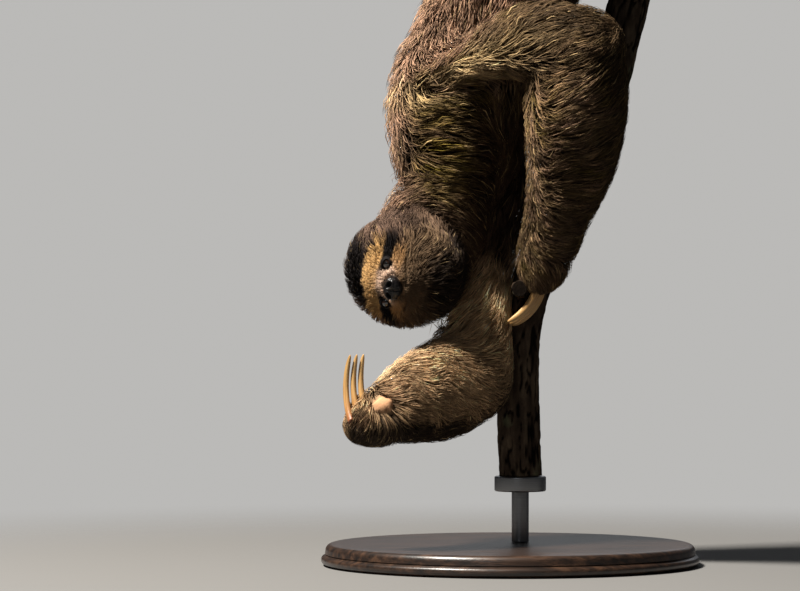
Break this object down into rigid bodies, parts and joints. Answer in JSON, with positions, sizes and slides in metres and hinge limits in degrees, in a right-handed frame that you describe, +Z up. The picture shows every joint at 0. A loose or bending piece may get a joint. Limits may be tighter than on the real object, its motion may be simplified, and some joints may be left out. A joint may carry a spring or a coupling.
{
  "type": "three-toed sloth",
  "caption": "Still, life-size model of a three-toed sloth climbing head down along a cut length of branch, face turned to the side and one hand reaching out, on a plain round display stand.",
  "frame": {"origin": "centre of the stand's underside, on the surface that the model stands on", "axes": "+Z up, along the branch; +X from the sloth's back towards its belly and the branch; -Y on the sloth's left side, the way that its face looks"},
  "size_m": [0.35, 0.35, 0.9003],
  "materials": {
    "coat": "coarse shaggy fur, grey-brown with tan tips and a faint green algae tint",
    "face_coat": "short dense fur, pale tan brow and cheeks with dark brown eye stripes and a brown throat",
    "nose_skin": "bare black damp skin, finely pebbled",
    "eye": "dark brown, wet gloss",
    "claw": "horn, yellow-tan with fine lengthwise ridges, satin",
    "bark": "rough dark brown bark with pale cut ends",
    "stand_wood": "dark stained hardwood, satin lacquer",
    "stand_steel": "brushed steel, satin"
  },
  "bodies": {
    "root": {"head": "face_coat", "neck": "coat", "trunk": "coat", "tail": "coat", "left_ear": "coat", "right_ear": "coat", "nose": "nose_skin", "left_eye": "eye", "right_eye": "eye", "left_upper_arm": "coat", "left_forearm": "coat", "left_hand": "coat", "left_hand_claw_1": "claw", "left_hand_claw_2": "claw", "left_hand_claw_3": "claw", "left_thigh": "coat", "left_shin": "coat", "left_foot": "coat", "left_foot_claw_1": "claw", "left_foot_claw_2": "claw", "left_foot_claw_3": "claw", "right_upper_arm": "coat", "right_forearm": "coat", "right_hand": "coat", "right_hand_claw_1": "claw", "right_hand_claw_2": "claw", "right_hand_claw_3": "claw", "right_thigh": "coat", "right_shin": "coat", "right_foot": "coat", "right_foot_claw_1": "claw", "right_foot_claw_2": "claw", "right_foot_claw_3": "claw", "perch_branch": "bark", "stand_base": "stand_wood", "stand_rod": "stand_steel", "stand_collar": "stand_steel"}
  },
  "joints": []
}
